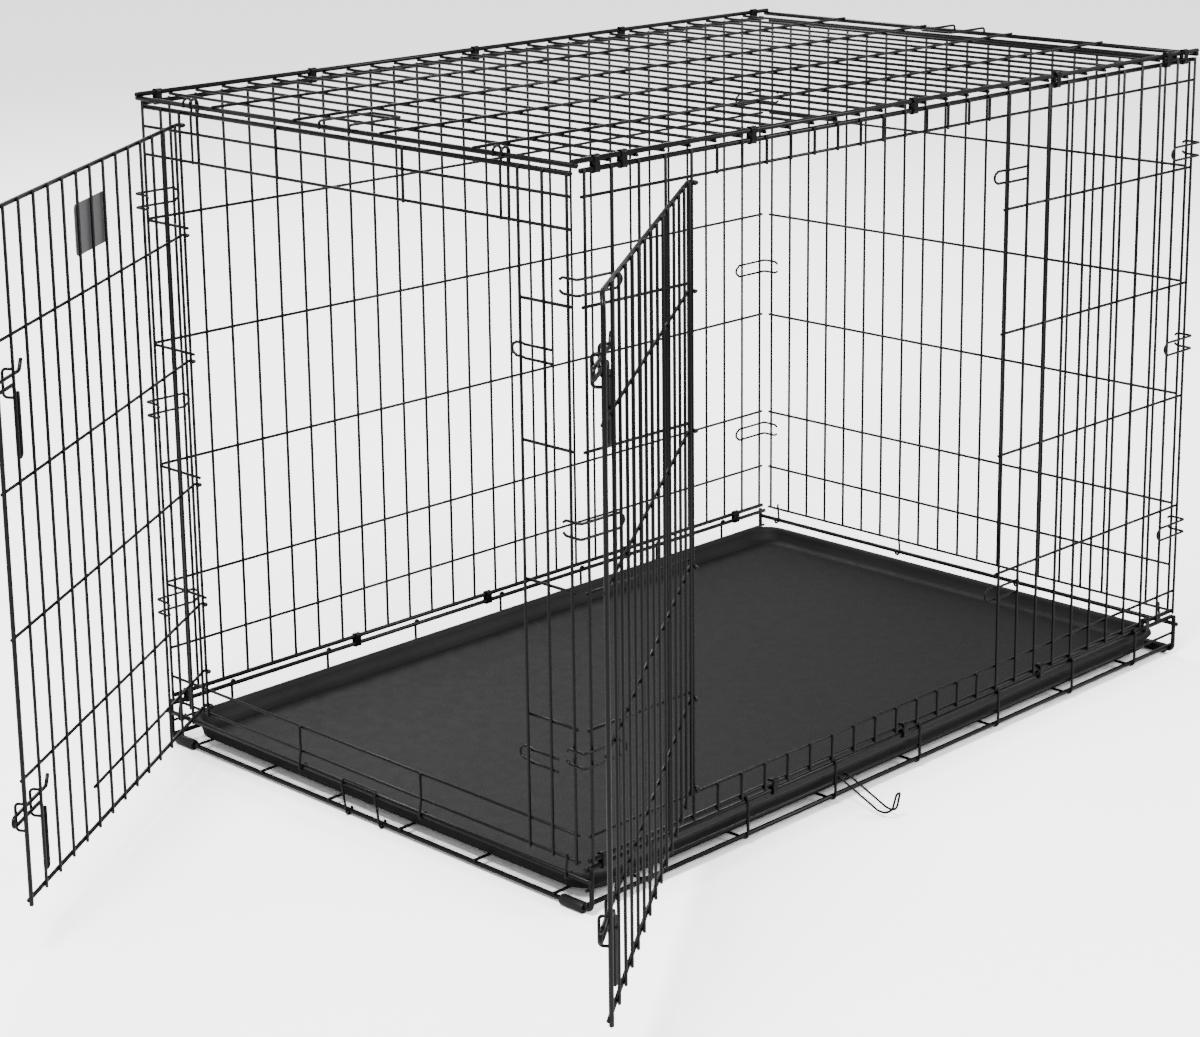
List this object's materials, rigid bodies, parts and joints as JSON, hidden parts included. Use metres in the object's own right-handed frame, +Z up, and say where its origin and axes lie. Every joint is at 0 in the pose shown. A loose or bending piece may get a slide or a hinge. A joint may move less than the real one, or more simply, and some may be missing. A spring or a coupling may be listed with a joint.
{
  "type": "wire dog crate",
  "caption": "Folding welded-wire dog crate with an open side door and an open end door, hinged slide-bolt latches and a moulded plastic floor pan.",
  "frame": {"origin": "on the floor under the middle of the box that holds the crate with both doors standing open", "axes": "+X along the crate, away from the door end; +Y from the side-door side to the back side; +Z up"},
  "size_m": [1.5412, 1.0107, 0.7832],
  "materials": {
    "wire_black": "black coated steel wire, slightly glossy",
    "clip_black": "black coated steel band",
    "foot_black": "satin black plastic sleeve",
    "pan_plastic": "near-black moulded plastic with a fine pebble grain",
    "plate_grey": "blank satin plate"
  },
  "bodies": {
    "root": {"base": "wire_black", "side_front": "wire_black", "side_back": "wire_black", "front_end": "wire_black", "top_panel": "wire_black", "top_grip_door_end": "wire_black", "top_grip_plain_end": "wire_black", "top_clip_front_1": "clip_black", "top_clip_front_2": "clip_black", "top_clip_front_3": "clip_black", "top_clip_front_4": "clip_black", "top_clip_front_5": "clip_black", "top_clip_front_6": "clip_black", "top_clip_front_7": "clip_black", "top_clip_back_1": "clip_black", "top_clip_back_2": "clip_black", "top_clip_back_3": "clip_black", "top_clip_back_4": "clip_black", "top_clip_back_5": "clip_black", "base_clip_front_1": "clip_black", "base_clip_front_2": "clip_black", "base_clip_front_3": "clip_black", "base_clip_front_4": "clip_black", "base_clip_front_5": "clip_black", "base_clip_back_1": "clip_black", "base_clip_back_2": "clip_black", "base_clip_back_3": "clip_black", "base_clip_back_4": "clip_black", "base_clip_back_5": "clip_black", "foot_door_end_front": "foot_black", "foot_door_end_back": "foot_black", "foot_plain_end_front": "foot_black", "foot_plain_end_back": "foot_black"},
    "rear_end": {"rear_end": "wire_black"},
    "end_door": {"end_door": "wire_black", "name_plate": "plate_grey"},
    "side_door": {"side_door": "wire_black"},
    "end_bolt_upper": {"end_door_bolt_upper": "wire_black"},
    "end_bolt_lower": {"end_door_bolt_lower": "wire_black"},
    "side_bolt_upper": {"side_door_bolt_upper": "wire_black"},
    "side_bolt_lower": {"side_door_bolt_lower": "wire_black"},
    "pan": {"pan": "pan_plastic"},
    "pan_stop": {"pan_stop": "wire_black"},
    "fold_hook": {"fold_hook": "wire_black"}
  },
  "joints": [
    {"name": "side_door_hinge", "type": "hinge", "parent": "root", "child": "side_door", "pos_m": [-0.14803, -0.203, 0.4], "axis": [0, 0, 1], "range_deg": [-20, 145]},
    {"name": "end_door_hinge", "type": "hinge", "parent": "root", "child": "end_door", "pos_m": [-0.3086, 0.4194, 0.4], "axis": [0, 0, 1], "range_deg": [-94, 56]},
    {"name": "side_bolt_upper_slide", "type": "slide", "parent": "side_door", "child": "side_bolt_upper", "axis": [0.8192, 0.5736, 0], "range_m": [0, 0.022]},
    {"name": "side_bolt_lower_slide", "type": "slide", "parent": "side_door", "child": "side_bolt_lower", "axis": [0.8192, 0.5736, 0], "range_m": [0, 0.022]},
    {"name": "end_bolt_upper_slide", "type": "slide", "parent": "end_door", "child": "end_bolt_upper", "axis": [0.829, 0.5592, 0], "range_m": [0, 0.022]},
    {"name": "end_bolt_lower_slide", "type": "slide", "parent": "end_door", "child": "end_bolt_lower", "axis": [0.829, 0.5592, 0], "range_m": [0, 0.022]},
    {"name": "pan_play", "type": "slide", "parent": "root", "child": "pan", "axis": [-1, 0, 0], "range_m": [0, 0.008]},
    {"name": "pan_stop_hinge", "type": "hinge", "parent": "root", "child": "pan_stop", "pos_m": [-0.3016, 0.149, 0.0062], "axis": [0, -1, 0], "range_deg": [0, 80]},
    {"name": "rear_end_fold", "type": "hinge", "parent": "root", "child": "rear_end", "pos_m": [0.7635, 0.149, 0.04], "axis": [0, -1, 0], "range_deg": [0, 90]},
    {"name": "fold_hook_hinge", "type": "hinge", "parent": "root", "child": "fold_hook", "pos_m": [0.10136, -0.19895, 0.028], "axis": [-1, 0, 0], "range_deg": [0, 80]}
  ]
}
